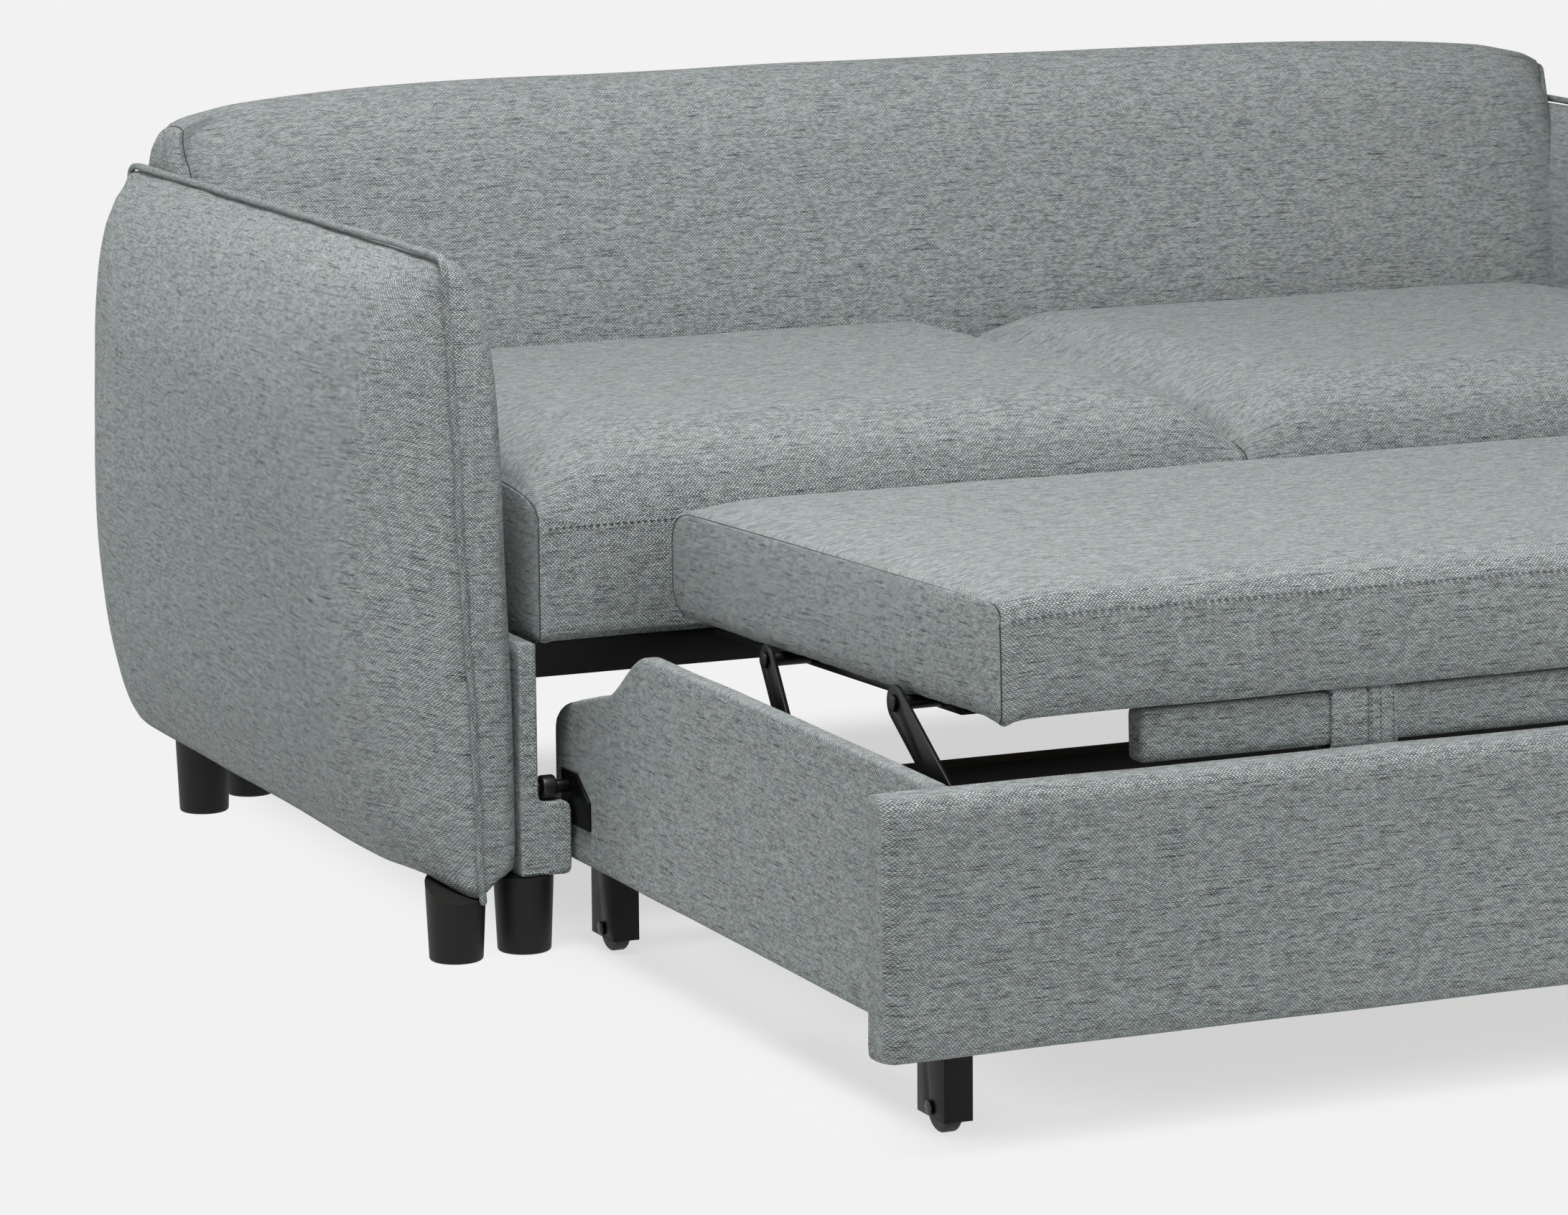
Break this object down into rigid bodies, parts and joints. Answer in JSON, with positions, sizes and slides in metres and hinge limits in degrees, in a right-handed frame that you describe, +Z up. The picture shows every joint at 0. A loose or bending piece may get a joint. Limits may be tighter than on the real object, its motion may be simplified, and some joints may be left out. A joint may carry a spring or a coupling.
{
  "type": "sofa bed",
  "caption": "Compact upholstered sofa bed with welted arms, round legs and a pull-out trundle whose mattress lifts on links to seat height.",
  "frame": {"origin": "middle of the footprint of the opened sofa bed, on the floor", "axes": "+X along the sofa to the right as one sits down facing the back, +Y from the front to the back, +Z up"},
  "size_m": [1.726, 1.652, 0.708],
  "materials": {
    "upholstery_fabric": "heathered grey green weave",
    "black_steel": "black powder coat",
    "leg_finish": "matte black",
    "zinc_steel": "zinc plated",
    "timber": "raw plywood and slats",
    "wheel_rubber": "black",
    "black_nylon": "black"
  },
  "bodies": {
    "sofa": {"arm_left": "upholstery_fabric", "arm_right": "upholstery_fabric", "arm_welt_left": "upholstery_fabric", "arm_welt_right": "upholstery_fabric", "arm_frame_left": "timber", "arm_frame_right": "timber", "arm_bolts": "zinc_steel", "backrest": "upholstery_fabric", "back_board": "timber", "rear_panel": "upholstery_fabric", "seat_cushion_left": "upholstery_fabric", "seat_cushion_right": "upholstery_fabric", "side_rail_left": "upholstery_fabric", "side_rail_right": "upholstery_fabric", "front_beam": "black_steel", "rear_beam": "black_steel", "centre_beam": "black_steel", "corner_brackets": "black_steel", "seat_slats": "timber", "arm_leg_front_left": "leg_finish", "arm_leg_front_right": "leg_finish", "arm_leg_rear_left": "leg_finish", "arm_leg_rear_right": "leg_finish", "base_leg_front_left": "leg_finish", "base_leg_front_right": "leg_finish", "base_leg_rear_left": "leg_finish", "base_leg_rear_right": "leg_finish", "leg_bolts": "zinc_steel"},
    "trundle": {"trundle_front_panel": "upholstery_fabric", "trundle_side_left": "upholstery_fabric", "trundle_side_right": "upholstery_fabric", "front_cross_tube": "black_steel", "rear_cross_tube": "black_steel", "wheel_leg_front_left": "black_steel", "wheel_leg_front_right": "black_steel", "wheel_leg_rear_left": "black_steel", "wheel_leg_rear_right": "black_steel", "wheel_axles": "zinc_steel", "roller_brackets": "black_steel", "roller_pins": "black_steel", "link_rails": "black_steel", "lower_pivot_pins": "black_steel"},
    "platform": {"upper_pivot_pins": "black_steel", "platform_rails": "black_steel", "platform_crossbars": "black_steel", "deck_board": "timber", "pullout_mattress": "upholstery_fabric", "grip_board": "upholstery_fabric", "grip_screws": "zinc_steel", "pull_straps": "upholstery_fabric"},
    "front_link_left_body": {"front_link_left": "black_steel"},
    "front_link_right_body": {"front_link_right": "black_steel"},
    "guide_roller_left_body": {"guide_roller_left": "black_nylon"},
    "guide_roller_right_body": {"guide_roller_right": "black_nylon"},
    "rear_link_left_body": {"rear_link_left": "black_steel"},
    "rear_link_right_body": {"rear_link_right": "black_steel"},
    "wheel_front_left_body": {"wheel_front_left": "wheel_rubber"},
    "wheel_front_right_body": {"wheel_front_right": "wheel_rubber"},
    "wheel_rear_left_body": {"wheel_rear_left": "wheel_rubber"},
    "wheel_rear_right_body": {"wheel_rear_right": "wheel_rubber"}
  },
  "joints": [
    {"name": "trundle_slide", "type": "slide", "parent": "sofa", "child": "trundle", "axis": [0, 1, 0], "range_m": [0, 0.02]},
    {"name": "wheel_front_left_spin", "type": "hinge", "parent": "trundle", "child": "wheel_front_left_body", "pos_m": [-0.639, -0.748, 0.021], "axis": [1, 0, 0], "continuous": true},
    {"name": "wheel_front_right_spin", "type": "hinge", "parent": "trundle", "child": "wheel_front_right_body", "pos_m": [0.639, -0.748, 0.021], "axis": [1, 0, 0], "continuous": true},
    {"name": "wheel_rear_left_spin", "type": "hinge", "parent": "trundle", "child": "wheel_rear_left_body", "pos_m": [-0.639, -0.063, 0.021], "axis": [1, 0, 0], "continuous": true},
    {"name": "wheel_rear_right_spin", "type": "hinge", "parent": "trundle", "child": "wheel_rear_right_body", "pos_m": [0.639, -0.063, 0.021], "axis": [1, 0, 0], "continuous": true},
    {"name": "guide_roller_left_spin", "type": "hinge", "parent": "trundle", "child": "guide_roller_left_body", "pos_m": [-0.692, -0.036, 0.1474], "axis": [1, 0, 0], "continuous": true},
    {"name": "guide_roller_right_spin", "type": "hinge", "parent": "trundle", "child": "guide_roller_right_body", "pos_m": [0.692, -0.036, 0.1474], "axis": [1, 0, 0], "continuous": true},
    {"name": "mattress_lift", "type": "hinge", "parent": "trundle", "child": "front_link_left_body", "pos_m": [-0.619, -0.745, 0.1969], "axis": [-1, 0, 0], "range_deg": [0, 62]},
    {"name": "front_link_right_turn", "type": "hinge", "parent": "trundle", "child": "front_link_right_body", "pos_m": [0.619, -0.745, 0.1969], "axis": [-1, 0, 0], "range_deg": [0, 62]},
    {"name": "rear_link_left_turn", "type": "hinge", "parent": "trundle", "child": "rear_link_left_body", "pos_m": [-0.619, -0.489, 0.18886], "axis": [-1, 0, 0], "range_deg": [0, 62]},
    {"name": "rear_link_right_turn", "type": "hinge", "parent": "trundle", "child": "rear_link_right_body", "pos_m": [0.619, -0.489, 0.18886], "axis": [-1, 0, 0], "range_deg": [0, 62]},
    {"name": "platform_turn", "type": "hinge", "parent": "front_link_left_body", "child": "platform", "pos_m": [-0.619, -0.617, 0.3189], "axis": [-1, 0, 0], "range_deg": [-62, 0]}
  ],
  "couplings": [
    {"joint": "front_link_right_turn", "follows": "mattress_lift", "ratio": 1},
    {"joint": "rear_link_left_turn", "follows": "mattress_lift", "ratio": 1},
    {"joint": "rear_link_right_turn", "follows": "mattress_lift", "ratio": 1},
    {"joint": "platform_turn", "follows": "mattress_lift", "ratio": -1}
  ]
}
